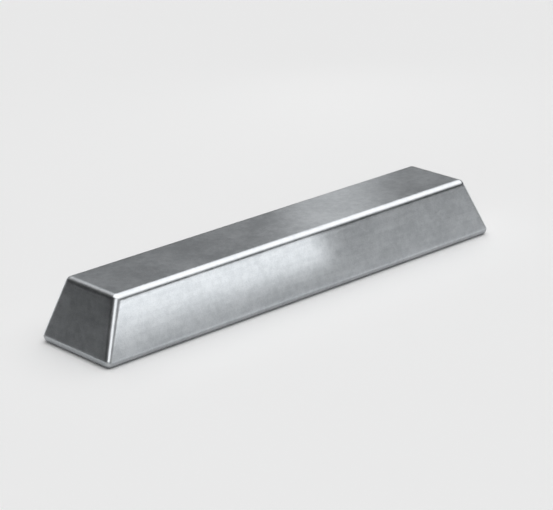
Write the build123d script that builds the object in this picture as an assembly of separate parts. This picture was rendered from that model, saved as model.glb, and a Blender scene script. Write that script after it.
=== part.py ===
from build123d import *
import os
from math import radians, tan

# Aluminium ingot: one bar cast in an open mould, stored on its wide face.
# +X runs along the bar and +Z is up. The origin is the middle of the wide face,
# which the bar rests on. The narrow face, which lay on the mould's floor, is on top.

# Overall sizes over the rounded edges, in millimetres
LENGTH = 700.0
WIDTH = 143.0
HEIGHT = 87.5

# Draft of the mould's walls, in degrees from upright
SIDE_DRAFT = 12.5
END_DRAFT = 22.5

# Edge radii: the mould rounds the narrow face and the corners, and the skin of
# the melt rounds the rim of the wide face
MOULD_EDGE_RADIUS = 10.0
RIM_EDGE_RADIUS = 8.0


def sharp_size(overall_size, draft):
    """The wide face's size between sharp edges, before the rim is rounded to the overall size."""
    half_angle = radians(90 - draft) / 2
    rim_loss = RIM_EDGE_RADIUS * (1 / tan(half_angle) - 1)
    return overall_size + 2 * rim_loss


def sharp_bar():
    """The bar with sharp edges: its cross-section run along it, kept within its side view."""
    length = sharp_size(LENGTH, END_DRAFT)
    width = sharp_size(WIDTH, SIDE_DRAFT)
    on_base = (Align.CENTER, Align.MIN)
    cross_section = Plane.YZ * Trapezoid(width, HEIGHT, 90 - SIDE_DRAFT, align=on_base)
    side_view = Plane.XZ * Trapezoid(length, HEIGHT, 90 - END_DRAFT, align=on_base)
    return extrude(cross_section, length / 2, both=True) & extrude(side_view, width / 2, both=True)


def rim_edges(bar):
    """The edges round the wide face."""
    return bar.faces().sort_by(Axis.Z)[0].edges()


def rounded(bar):
    """The bar with the mould's edges rounded first, then the rim that closes round them."""
    bar = fillet(bar.edges() - rim_edges(bar), MOULD_EDGE_RADIUS)
    return fillet(rim_edges(bar), RIM_EDGE_RADIUS)


ingot = rounded(sharp_bar())
ingot.label = "ingot"

os.makedirs("parts", exist_ok=True)
export_step(ingot, "parts/ingot.step")
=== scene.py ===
# %% [markdown]
# # An aluminium ingot
# The object is one bar of aluminium, cast in an open mould and turned out on its wide face. Its
# solid model already has the right size and place, so it is loaded first, as a fixed frame. Its
# box is kept, because the finished bar has to fill that box and no more.

# %% Load the frame
import math

import bpy
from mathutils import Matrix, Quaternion, Vector


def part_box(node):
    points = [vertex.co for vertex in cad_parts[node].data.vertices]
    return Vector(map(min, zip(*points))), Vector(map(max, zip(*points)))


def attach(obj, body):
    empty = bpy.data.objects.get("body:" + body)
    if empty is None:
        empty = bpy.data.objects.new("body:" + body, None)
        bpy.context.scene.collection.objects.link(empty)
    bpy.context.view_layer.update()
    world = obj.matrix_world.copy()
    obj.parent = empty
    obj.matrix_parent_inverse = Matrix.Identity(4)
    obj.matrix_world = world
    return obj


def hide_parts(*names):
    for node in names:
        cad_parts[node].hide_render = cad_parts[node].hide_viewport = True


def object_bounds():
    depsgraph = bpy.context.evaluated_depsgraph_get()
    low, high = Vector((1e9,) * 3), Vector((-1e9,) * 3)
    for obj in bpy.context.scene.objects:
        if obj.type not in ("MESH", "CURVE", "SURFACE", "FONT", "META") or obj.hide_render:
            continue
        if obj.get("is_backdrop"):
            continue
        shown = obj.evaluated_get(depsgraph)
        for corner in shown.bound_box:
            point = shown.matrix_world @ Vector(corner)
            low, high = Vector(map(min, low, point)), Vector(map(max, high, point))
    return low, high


MM = 0.001

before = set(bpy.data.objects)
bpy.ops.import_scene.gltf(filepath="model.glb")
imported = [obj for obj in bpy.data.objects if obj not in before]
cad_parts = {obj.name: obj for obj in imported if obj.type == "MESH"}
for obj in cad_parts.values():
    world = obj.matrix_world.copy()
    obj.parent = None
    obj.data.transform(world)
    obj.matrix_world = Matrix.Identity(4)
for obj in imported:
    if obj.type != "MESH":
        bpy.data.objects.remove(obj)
solid_low, solid_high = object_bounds()
bar_low, bar_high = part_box("ingot")
length, width, height = bar_high - bar_low
print(f"ingot {length / MM:.1f} x {width / MM:.1f} x {height / MM:.1f} mm")

# %% [markdown]
# ## Node maths as plain arithmetic
# Node trees work out the bar's shape, its finish and the room's light. They could be wired by
# hand, node by node, but a page of `nodes.new` and `links.new` hides the maths in them. A small
# class that stands for one output of a node reads better: adding two wires adds a Math node, and
# `node` adds any other kind.


# %% A wire between nodes
class Wire:
    """One output of a node, or only a tree to start from. Arithmetic on wires adds Math nodes."""

    def __init__(self, tree, socket=None):
        self.tree = tree
        self.socket = socket

    def node(self, kind, settings=None, inputs=None, output=0):
        """Adds a node, with its settings first and its inputs after them, and returns one output."""
        added = self.tree.nodes.new(kind)
        for name, value in (settings or {}).items():
            setattr(added, name, value)
        for name, value in (inputs or {}).items():
            if isinstance(value, Wire):
                self.tree.links.new(value.socket, added.inputs[name])
            else:
                added.inputs[name].default_value = value
        return Wire(self.tree, added.outputs[output] if added.outputs else None)

    def other(self, output):
        """Another output of the node that this wire comes from."""
        return Wire(self.tree, self.socket.node.outputs[output])

    def maths(self, operation, *others):
        """A Math node on this wire, such as ABSOLUTE, or on this wire and others, such as MAXIMUM."""
        return self.node("ShaderNodeMath", {"operation": operation}, dict(enumerate((self, *others))))

    def maths_after(self, operation, first):
        """A Math node on a number and this wire, in that order."""
        return self.node("ShaderNodeMath", {"operation": operation}, {0: first, 1: self})

    def __add__(self, other):
        return self.maths("ADD", other)

    def __radd__(self, other):
        return self.maths_after("ADD", other)

    def __sub__(self, other):
        return self.maths("SUBTRACT", other)

    def __rsub__(self, other):
        return self.maths_after("SUBTRACT", other)

    def __mul__(self, other):
        return self.maths("MULTIPLY", other)

    def __rmul__(self, other):
        return self.maths_after("MULTIPLY", other)

    def __truediv__(self, other):
        return self.maths("DIVIDE", other)

    def __rtruediv__(self, other):
        return self.maths_after("DIVIDE", other)


print("a wire takes", [name for name in vars(Wire) if name.startswith("__r")], "and their plain forms")

# %% [markdown]
# ## Patterns in the skin
# Bare cast aluminium is a satin metal. The mould's coating leaves a fine grain, a mottle of small
# spots and wide cloudy patches, and the melt that rises in the mould leaves faint level lines on
# the walls. A picture of such a skin would stretch at the corners and show its seams. Noise on the
# bar's own coordinates, in metres, runs on round every corner instead, and each pattern can have
# its real size.

# %% Patterns in the skin
CLOUDS = {"size": 60 * MM, "detail": 4.0, "roughness": 0.6}
MOTTLE = {"size": 9 * MM, "detail": 3.0, "seed": 1.0}
GRAIN = {"size": 1.4 * MM}
LEVEL_LINES = {"size": 5 * MM}
LINE_STRETCH = 0.06
NOISE_MIDDLE = 0.5


def noise(place, size, detail=2.0, roughness=0.5, seed=0.0):
    """Soft noise about NOISE_MIDDLE, with lumps of about the given size."""
    inputs = {"Vector": place, "Scale": 1 / size, "Detail": detail, "Roughness": roughness, "W": seed}
    return place.node("ShaderNodeTexNoise", {"noise_dimensions": "4D"}, inputs)


skin_material = bpy.data.materials.new("cast_skin")
skin_material.use_nodes = True
skin_material.node_tree.nodes.clear()
skin = Wire(skin_material.node_tree)

place = skin.node("ShaderNodeTexCoord", output="Object")
drawn_out = {0: place, 1: (LINE_STRETCH, LINE_STRETCH, 1.0)}
level_place = skin.node("ShaderNodeVectorMath", {"operation": "MULTIPLY"}, drawn_out)
clouds = noise(place, **CLOUDS)
mottle = noise(place, **MOTTLE)
grain = noise(place, **GRAIN)
level_lines = noise(level_place, **LEVEL_LINES)
pattern_sizes = [pattern["size"] / MM for pattern in (CLOUDS, MOTTLE, GRAIN, LEVEL_LINES)]
print("patterns of", [round(pattern_size, 1) for pattern_size in pattern_sizes], "mm")

# %% [markdown]
# ## Colour of the skin
# The metal is a cool pale grey. It is duller in patches, which are the four patterns added up, each
# with its share. The edges that the mould rounded are lighter, partly burnished by handling and
# partly a painted highlight. The wide face and its rim are darker, a painted shade at the bar's
# foot. A Bevel node could find the edges at the cost of extra rays, and Pointiness could, but it
# depends on how fine the mesh is. The bar's own tree knows exactly where its edges and its wide
# face are, so it stores them in two attributes, `edge` and `open_face`, and the finish reads them
# here.

# %% Colour of the skin
SKIN_COLOUR = (0.70, 0.73, 0.755, 1.0)
DULL_COLOUR = (0.53, 0.56, 0.585, 1.0)
# a lighter colour for the rounded edges: partly burnish from handling, partly a painted highlight
BURNISH_AND_HIGHLIGHT_COLOUR = (0.82, 0.84, 0.86, 1.0)
# a darkening factor for the wide face and its rim: a painted shade at the bar's foot
PAINTED_FOOT_SHADE = (0.65, 0.65, 0.65, 1.0)
CLOUD_SHARE = 0.30
MOTTLE_SHARE = 0.28
GRAIN_SHARE = 0.28
LINE_SHARE = 0.14
DULL_BELOW = 0.38
CLEAR_ABOVE = 0.62
LEAST_BURNISH_AND_HIGHLIGHT = 0.3
MOTTLED_BURNISH_AND_HIGHLIGHT = 0.8
FOOT_SHADE_FULL_AT = 0.3


def soft_step(wire, low, high):
    """Rises smoothly from 0 where the wire is low to 1 where it is high."""
    inputs = {"Value": wire, "From Min": low, "From Max": high}
    return wire.node("ShaderNodeMapRange", {"interpolation_type": "SMOOTHSTEP"}, inputs)


def between(mask, low_colour, high_colour, blend="MIX"):
    """A colour that goes to another, or is multiplied by it, as the mask goes from 0 to 1."""
    settings = {"data_type": "RGBA", "blend_type": blend}
    inputs = {"Factor": mask, "A": low_colour, "B": high_colour}
    return mask.node("ShaderNodeMix", settings, inputs, output="Result")


patches = clouds * CLOUD_SHARE + mottle * MOTTLE_SHARE + grain * GRAIN_SHARE + level_lines * LINE_SHARE
patchy_colour = between(soft_step(patches, DULL_BELOW, CLEAR_ABOVE), DULL_COLOUR, SKIN_COLOUR)
edge = skin.node("ShaderNodeAttribute", {"attribute_name": "edge"}, output="Fac")
# the rounded edges are lightened: partly handling wear, partly a painted highlight
burnish_and_highlight = edge * (LEAST_BURNISH_AND_HIGHLIGHT + mottle * MOTTLED_BURNISH_AND_HIGHLIGHT)
mould_colour = between(burnish_and_highlight, patchy_colour, BURNISH_AND_HIGHLIGHT_COLOUR)
open_face = skin.node("ShaderNodeAttribute", {"attribute_name": "open_face"}, output="Fac")
# the wide face and its rim are darkened: painted shade where the bar meets the floor
painted_foot_shade = soft_step(open_face, 0, FOOT_SHADE_FULL_AT)
skin_colour = between(painted_foot_shade, mould_colour, PAINTED_FOOT_SHADE, blend="MULTIPLY")
print("colours from", DULL_COLOUR[:3], "to", SKIN_COLOUR[:3], "and", BURNISH_AND_HIGHLIGHT_COLOUR[:3], "on edges")

# %% [markdown]
# ## Sheen and relief of the skin
# A satin casting blurs what it reflects, and Blender calls that its roughness. It is about 0.3
# here and a little more in the cloudy patches, and it never falls to the sharper shine of a
# polished bar. The grain, the mottle and the level lines are also a relief of a tenth of a
# millimetre or less. Real geometry for that would take millions of faces, so a Bump node tilts the
# shading instead. Its heights are in metres, like everything else.

# %% Sheen and relief of the skin
SATIN_ROUGHNESS = 0.295
LEAST_ROUGHNESS = 0.278
CLOUDED_ROUGHNESS = 0.10
MOTTLED_ROUGHNESS = 0.06
GRAIN_HEIGHT = 0.10 * MM
MOTTLE_HEIGHT = 0.10 * MM
LINE_HEIGHT = 0.07 * MM

uneven = (clouds - NOISE_MIDDLE) * CLOUDED_ROUGHNESS + (mottle - NOISE_MIDDLE) * MOTTLED_ROUGHNESS
relief = grain * GRAIN_HEIGHT + mottle * MOTTLE_HEIGHT + level_lines * LINE_HEIGHT
finish = {
    "Base Color": skin_colour,
    "Metallic": 1.0,
    "Roughness": (SATIN_ROUGHNESS + uneven).maths("MAXIMUM", LEAST_ROUGHNESS),
    "Normal": skin.node("ShaderNodeBump", {}, {"Strength": 1.0, "Distance": 1.0, "Height": relief}),
}
shader = skin.node("ShaderNodeBsdfPrincipled", {}, finish)
skin.node("ShaderNodeOutputMaterial", {}, {"Surface": shader})
print("finish", skin_material.name, "of", len(skin_material.node_tree.nodes), "nodes")

# %% [markdown]
# ## The bar's form, as a rule
# The bar is a block whose four walls lean inwards, so that it slips out of the mould: by one draft
# at the sides and by a greater one at the ends. All its edges are rounded. A box with a Bevel
# modifier would have that form too, but long thin faces that can't carry the slow waves of a cast
# wall. So the form is written as a rule, in Geometry Nodes. Think of a smaller block inside the
# bar, its core, and a ball that rolls over it: each point of the skin is a point of the core plus
# the ball's radius in the outward direction. The tree's inputs are the sizes that a maker gives.

# %% Sizes of the form
form = {
    "Length": length,
    "Width": width,
    "Height": height,
    "Side Draft": math.radians(12.5),
    "End Draft": math.radians(22.5),
    "Mould Edge Radius": 10 * MM,
    "Rim Edge Radius": 8 * MM,
    "Mesh Step": 2.2 * MM,
    "Edge Steps": 7,
    "Wave Size": 70 * MM,
    "Wave Height": 0.25 * MM,
    "Seed": 4,
}

bar_tree = bpy.data.node_groups.new("drafted_bar", "GeometryNodeTree")
for name in form:
    bar_tree.interface.new_socket(name, in_out="INPUT", socket_type="NodeSocketFloat")
bar_tree.interface.new_socket("Bar", in_out="OUTPUT", socket_type="NodeSocketGeometry")
shape = Wire(bar_tree)
tree_inputs = shape.node("NodeGroupInput")
given = {name: tree_inputs.other(name) for name in form}
print("tree inputs", {name: round(value, 4) for name, value in form.items()})

# %% [markdown]
# ## Grid of points
# The form needs points to move. They could come from a box that is subdivided a few times, but that
# puts as many steps across the bar as along it. A Mesh Cube node has its own number of steps on
# each axis. They are counted from the bar's sizes, so that the finished faces are nearly square.
# The cube reaches from -1 to 1, so a point's place is its share of the way to each wall.

# %% Grid of points
SIZE_ALONG = {"X": "Length", "Y": "Width", "Z": "Height"}


def parts(vector_wire):
    """The x, y and z of a vector, as three wires."""
    split = vector_wire.node("ShaderNodeSeparateXYZ", {}, {"Vector": vector_wire})
    return [split.other(axis) for axis in "XYZ"]


steps = {axis: (given[name] / given["Mesh Step"]).maths("ROUND") for axis, name in SIZE_ALONG.items()}
counts = {f"Vertices {axis}": step_count + 1 for axis, step_count in steps.items()}
cube = shape.node("GeometryNodeMeshCube", {}, {"Size": (2, 2, 2), **counts})
x, y, z = parts(shape.node("GeometryNodeInputPosition"))
print("grid of", [round(form[name] / form["Mesh Step"]) for name in SIZE_ALONG.values()], "steps")

# %% [markdown]
# ## Flats and turns
# A wall of the bar is flat up to its rounded edge. Over the flat, a grid point slides along the
# core. Past it, the point stays on the core's edge, and its outward direction turns from this wall's
# to the next one's. Each wall gets a weight for that turn, from 0 on the flats of the others to 1 on
# its own. A straight weight would crowd the points in the middle of the edge, so the weight is a
# tangent, which makes equal steps equal turns. An edge is where two weights meet. The edges that
# the mould made, and the open wide face, are marked on the points for the finish.

# %% Flats and turns
EDGE_MIDDLE_TURN = math.radians(45)


def flat_and_weight(along, step_count):
    """Where a point lies on the flat, from -1 to 1, and the weight of the wall that it nears."""
    flat_end = 1 - 2 * given["Edge Steps"] / step_count
    flat = (along / flat_end).maths("MAXIMUM", -1).maths("MINIMUM", 1)
    turn = ((along.maths("ABSOLUTE") - flat_end) / (1 - flat_end)).maths("MAXIMUM", 0)
    return flat, (turn * EDGE_MIDDLE_TURN).maths("TANGENT")


flat_x, end_weight = flat_and_weight(x, steps["X"])
flat_y, side_weight = flat_and_weight(y, steps["Y"])
flat_z, face_weight = flat_and_weight(z, steps["Z"])
narrow_weight = face_weight * z.maths("GREATER_THAN", 0)
wide_weight = face_weight * z.maths("LESS_THAN", 0)
mould_edges = end_weight * side_weight + (end_weight + side_weight) * narrow_weight
marks = {"edge": mould_edges.maths("MINIMUM", 1), "open_face": wide_weight}
marked_cube = cube
for name, mark in marks.items():
    marked = {"Geometry": marked_cube, "Name": name, "Value": mark}
    marked_cube = shape.node("GeometryNodeStoreNamedAttribute", {"data_type": "FLOAT"}, marked)
print("each edge turns in", 2 * form["Edge Steps"], "steps")

# %% [markdown]
# ## Outward direction
# The ends of the bar face along X and its sides along Y, all tilted up by their draft, and the
# other two faces look straight up and down. Blender's own normals could give these directions, but
# only once the bar has its shape. So they are added up here, each by its wall's weight, and on
# an edge or a corner the sum lies between its walls.

# %% Outward direction
side_draft = given["Side Draft"]
end_draft = given["End Draft"]


def vector(x_part, y_part, z_part):
    """A vector of the bar's tree, from three wires."""
    return shape.node("ShaderNodeCombineXYZ", {}, {"X": x_part, "Y": y_part, "Z": z_part})


tilt = end_weight * end_draft.maths("SINE") + side_weight * side_draft.maths("SINE")
added_up = vector(
    x.maths("SIGN") * end_weight * end_draft.maths("COSINE"),
    y.maths("SIGN") * side_weight * side_draft.maths("COSINE"),
    z.maths("SIGN") * face_weight + tilt,
)
outward = shape.node("ShaderNodeVectorMath", {"operation": "NORMALIZE"}, {0: added_up})
tilts = [math.degrees(form[name]) for name in ("Side Draft", "End Draft")]
print("sides and ends tilt up by", [round(degrees, 1) for degrees in tilts], "degrees")

# %% [markdown]
# ## Core and skin
# The core's walls are the sharp bar's walls, moved in by the ball's radius. That radius goes from
# the rim's, at the wide face, to the mould's, at the narrow face. The bar's sizes are measured over
# its rounded rim, and a sharp rim would reach out further by a little, the rim loss. All this could
# be modelled by hand for one bar, but as a rule it stays right for every size and draft.

# %% Core and skin
rim = given["Rim Edge Radius"]
mould = given["Mould Edge Radius"]
rise = (flat_z + 1) / 2
radius = rim + (mould - rim) * rise
level = rim + (given["Height"] - mould - rim) * rise


def core_half(overall, draft):
    """Half the core's size at its level: the sharp wall there, moved in by the radius."""
    rim_loss = rim * (draft.maths("TANGENT") + 1 / draft.maths("COSINE") - 1)
    wall = overall / 2 + rim_loss - level * draft.maths("TANGENT")
    return wall - radius / draft.maths("COSINE")


half_length = core_half(given["Length"], end_draft)
half_width = core_half(given["Width"], side_draft)
core = vector(flat_x * half_length, flat_y * half_width, level)
rolled = {0: outward, 1: vector(radius, radius, radius), 2: core}
skin_point = shape.node("ShaderNodeVectorMath", {"operation": "MULTIPLY_ADD"}, rolled)
rounding = {"Geometry": marked_cube, "Position": skin_point}
rounded_bar = shape.node("GeometryNodeSetPosition", {}, rounding)
edge_radii = [form[name] / MM for name in ("Rim Edge Radius", "Mould Edge Radius")]
print("edge radii", [round(edge_radius, 1) for edge_radius in edge_radii], "mm")

# %% [markdown]
# ## Waves of the casting
# Metal shrinks as it sets, so a cast wall is never quite flat, and what it reflects swims a little.
# Bump in the finish could imitate that, but the outline would stay dead straight. Slow noise that
# moves the points along their normals, by a fraction of a millimetre, bends both. The wide face
# stays flat, because the bar stands on it.

# %% Waves of the casting
WIDE_FACE_NORMAL_Z = -0.9
WALL_NORMAL_Z = -0.5

normal = shape.node("GeometryNodeInputNormal")
off_wide_face = soft_step(parts(normal)[2], WIDE_FACE_NORMAL_Z, WALL_NORMAL_Z)
skin_place = shape.node("GeometryNodeInputPosition")
waves = noise(skin_place, given["Wave Size"], seed=given["Seed"]) - NOISE_MIDDLE
lift = waves * given["Wave Height"] * off_wide_face
offset = shape.node("ShaderNodeVectorMath", {"operation": "SCALE"}, {0: normal, "Scale": lift})
waving = {"Geometry": rounded_bar, "Offset": offset}
waved_bar = shape.node("GeometryNodeSetPosition", {}, waving)
print("waves within", form["Wave Height"] / MM, "mm,", round(form["Wave Size"] / MM), "mm long")

# %% [markdown]
# ## The finished bar
# The tree ends by shading the bar smooth and giving it its skin. A modifier runs the tree, and it
# could stay on the object, but other programs know meshes and not node trees. So the result is
# kept as a plain mesh. It rides on the part's only body, and stands for the solid ingot.

# %% The finished bar
smooth = shape.node("GeometryNodeSetShadeSmooth", {}, {"Geometry": waved_bar})
realized = shape.node("GeometryNodeRealizeInstances", {}, {"Geometry": smooth})
skinned = shape.node("GeometryNodeSetMaterial", {}, {"Geometry": realized, "Material": skin_material})
shape.node("NodeGroupOutput", {}, {"Bar": skinned})


def cast(name, tree, sizes):
    """A plain mesh object from a tree, with the tree's inputs set by their identifiers."""
    piece = bpy.data.objects.new(name, bpy.data.meshes.new("empty"))
    bpy.context.scene.collection.objects.link(piece)
    modifier = piece.modifiers.new(tree.name, "NODES")
    modifier.node_group = tree
    for socket in tree.interface.items_tree:
        if socket.in_out == "INPUT":
            modifier[socket.identifier] = float(sizes[socket.name])
    depsgraph = bpy.context.evaluated_depsgraph_get()
    shaped = piece.evaluated_get(depsgraph)
    mesh = bpy.data.meshes.new_from_object(shaped, preserve_all_data_layers=True, depsgraph=depsgraph)
    piece.modifiers.clear()
    piece.data = mesh
    return piece


bar = cast("cast_bar", bar_tree, form)
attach(bar, "root")
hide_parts("ingot")
print("bar of", len(bar.data.polygons), "faces, from a tree of", len(bar_tree.nodes), "nodes")

# %% [markdown]
# ## Floor
# A plain pale floor carries the bar and shows its soft shadow. A curved backdrop would do as well
# from the front, but the bar is seen from all sides. So the floor is one large flat face in matt
# white paint, with its edge out of every view. The metal shows it as a pale sheen low on the walls.

# %% Floor
FLOOR_COLOUR = (0.95, 0.95, 0.95, 1.0)
FLOOR_ROUGHNESS = 0.9
FLOOR_REACH = 30.0

paint_material = bpy.data.materials.new("floor_paint")
paint_material.use_nodes = True
paint_material.node_tree.nodes.clear()
paint = Wire(paint_material.node_tree)
matt = {"Base Color": FLOOR_COLOUR, "Roughness": FLOOR_ROUGHNESS}
painted = paint.node("ShaderNodeBsdfPrincipled", {}, matt)
paint.node("ShaderNodeOutputMaterial", {}, {"Surface": painted})

floor_mesh = bpy.data.meshes.new("floor")
corners = [(-1, -1), (1, -1), (1, 1), (-1, 1)]
floor_points = [(across * FLOOR_REACH, along * FLOOR_REACH, bar_low.z) for across, along in corners]
floor_mesh.from_pydata(floor_points, [], [(0, 1, 2, 3)])
floor_mesh.materials.append(paint_material)
floor = bpy.data.objects.new("floor", floor_mesh)
bpy.context.scene.collection.objects.link(floor)
floor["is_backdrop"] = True
print("floor", 2 * FLOOR_REACH, "m wide, at height", round(bar_low.z, 4))

# %% [markdown]
# ## Room light
# Metal shows what stands round it, so it needs a room to reflect more than a lamp. This room is
# dim, which keeps the near end dark, with six soft glows in it. A bright ceiling draws the white
# line along the top edge. A grey far wall and left wall light the top face. A window behind the
# camera draws the white line down the near corner. A front wall and a back wall give the long
# walls a grey sheen where they are seen straight on. Lamps could do all this, but a lamp has a hard
# outline that shows in metal. The world can hold soft patches instead, and none of them is so
# bright that a face burns out, from any side.

# %% Room light
ROOM_BRIGHTNESS = 0.02
ROOM_GLOWS = {
    "ceiling": {"azimuth": 95, "elevation": 76, "brightness": 1.4, "full_to": 38, "fades_by": 56},
    "far_wall": {"azimuth": 36, "elevation": 14, "brightness": 0.115, "full_to": 8, "fades_by": 50},
    "left_wall": {"azimuth": 256, "elevation": 8, "brightness": 0.15, "full_to": 5, "fades_by": 30},
    "near_window": {"azimuth": 223, "elevation": 27, "brightness": 1.5, "full_to": 8, "fades_by": 26},
    "front_wall": {"azimuth": 180, "elevation": 14, "brightness": 0.26, "full_to": 6, "fades_by": 30},
    "back_wall": {"azimuth": 4, "elevation": 14, "brightness": 0.26, "full_to": 6, "fades_by": 28},
}


def towards(azimuth, elevation):
    """A direction, by its azimuth clockwise from +Y and its elevation, in degrees."""
    around = math.radians(azimuth)
    up = math.radians(elevation)
    return Vector((math.sin(around) * math.cos(up), math.cos(around) * math.cos(up), math.sin(up)))


def glow(sight, azimuth, elevation, brightness, full_to, fades_by):
    """A round patch of light, even up to one angle from its middle and gone by another, in degrees."""
    product = {"operation": "DOT_PRODUCT"}
    compared = {0: sight, 1: towards(azimuth, elevation)}
    nearness = sight.node("ShaderNodeVectorMath", product, compared, output="Value")
    rim_nearness = math.cos(math.radians(fades_by))
    full_nearness = math.cos(math.radians(full_to))
    return brightness * soft_step(nearness, rim_nearness, full_nearness)


world = bpy.data.worlds.new("studio_room")
world.use_nodes = True
world.node_tree.nodes.clear()
room = Wire(world.node_tree)
sight = room.node("ShaderNodeTexCoord", output="Generated")
strength = ROOM_BRIGHTNESS
for patch in ROOM_GLOWS.values():
    strength = strength + glow(sight, **patch)
light = room.node("ShaderNodeBackground", {}, {"Color": (1, 1, 1, 1), "Strength": strength})
room.node("ShaderNodeOutputWorld", {}, {"Surface": light})
bpy.context.scene.world = world
print("room glows", {name: patch["brightness"] for name, patch in ROOM_GLOWS.items()})

# %% [markdown]
# ## Screens
# The long wall has a sheen that fades downwards and towards its far end, and the top face has a soft
# band. A glow of the room would spread over a whole face, because the room is far away. So two
# screens stand close to the bar, and each lights only a part of it. The strip beside the long wall
# has a grid, as a studio strip has, which keeps its light off the floor. Blender keeps a lamp's
# power when its spread narrows, which would make it brighter, so the grid takes its share.

# %% Screens
SIDE_STRIP = {
    "centre": Vector((-0.085, -0.25, 0.077)),
    "target": Vector((-0.232, 0.067, 0.108)),
    "size": (0.42, 0.08),
    "brightness": 2.15,
    "grid": 52,
}
TOP_SCREEN = {
    "centre": Vector((0.75, 0.70, 0.45)),
    "target": Vector((0.12, 0.0, 0.09)),
    "size": (0.16, 0.50),
    "brightness": 0.45,
    "grid": 180,
}


def soft_screen(name, centre, target, size, brightness, grid):
    """A glowing rectangle that faces a target. Brightness 1 is white, and the grid is in degrees."""
    half_grid = math.radians(grid) / 2
    grid_share = 1 - half_grid / math.tan(half_grid)
    lamp = bpy.data.lights.new(name, "AREA")
    lamp.shape = "RECTANGLE"
    lamp.size, lamp.size_y = size
    lamp.spread = math.radians(grid)
    lamp.energy = brightness * math.pi * lamp.size * lamp.size_y * grid_share
    screen = bpy.data.objects.new(name, lamp)
    screen.location = centre
    screen.rotation_mode = "QUATERNION"
    screen.rotation_quaternion = (target - centre).to_track_quat("-Z", "Y")
    screen.visible_camera = False
    bpy.context.scene.collection.objects.link(screen)
    return screen


screens = [soft_screen("side_strip", **SIDE_STRIP), soft_screen("top_screen", **TOP_SCREEN)]
print("screens", {screen.name: round(screen.data.energy, 3) for screen in screens}, "watts")

# %% [markdown]
# ## Camera
# The bar is seen as in the photograph: 41 degrees round from its long wall, 20 degrees up and about
# 3 metres away. The camera could come nearer with a wider lens, but then the far end would look
# too small. So the place is the photograph's, and the lens only sets the bar's size in the picture.
# The photograph was taken with a slight lean, and has the bar off to one side of a wide view. Both
# turn the bar in the picture, by 2 degrees in all. A shifted lens could give the second part, but
# a small roll gives both, and keeps the bar in the middle of every view.

# %% Camera
LONG_WALL_AZIMUTH = 180
CAMERA_TURN = 41
CAMERA_ELEVATION = 20
CAMERA_ROLL = 2.2
CAMERA_DISTANCE = 2.94
CAMERA_LENS_MM = 139.0

away = towards(LONG_WALL_AZIMUTH + CAMERA_TURN, CAMERA_ELEVATION)
camera = bpy.data.objects.new("camera", bpy.data.cameras.new("camera"))
camera.data.lens = CAMERA_LENS_MM
camera.location = (bar_low + bar_high) / 2 + CAMERA_DISTANCE * away
camera.rotation_mode = "QUATERNION"
# a camera that rolls clockwise turns the bar anticlockwise in the picture
roll = Quaternion((0, 0, 1), math.radians(-CAMERA_ROLL))
camera.rotation_quaternion = (-away).to_track_quat("-Z", "Y") @ roll
bpy.context.scene.collection.objects.link(camera)
bpy.context.scene.camera = camera
bpy.context.scene.view_settings.view_transform = "Standard"
print("camera at", [round(value, 3) for value in camera.location])

# %% [markdown]
# ## Hand over
# The finished bar has to keep the solid's size, apart from its fine waves. That could be judged by
# eye, but numbers are surer. So both boxes are measured, and the difference is printed.

# %% Size of the finished bar
seen_low, seen_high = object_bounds()
grown = (seen_high - seen_low) - (solid_high - solid_low)
print("the finished bar is larger than the solid by", [round(value / MM, 3) for value in grown], "mm")
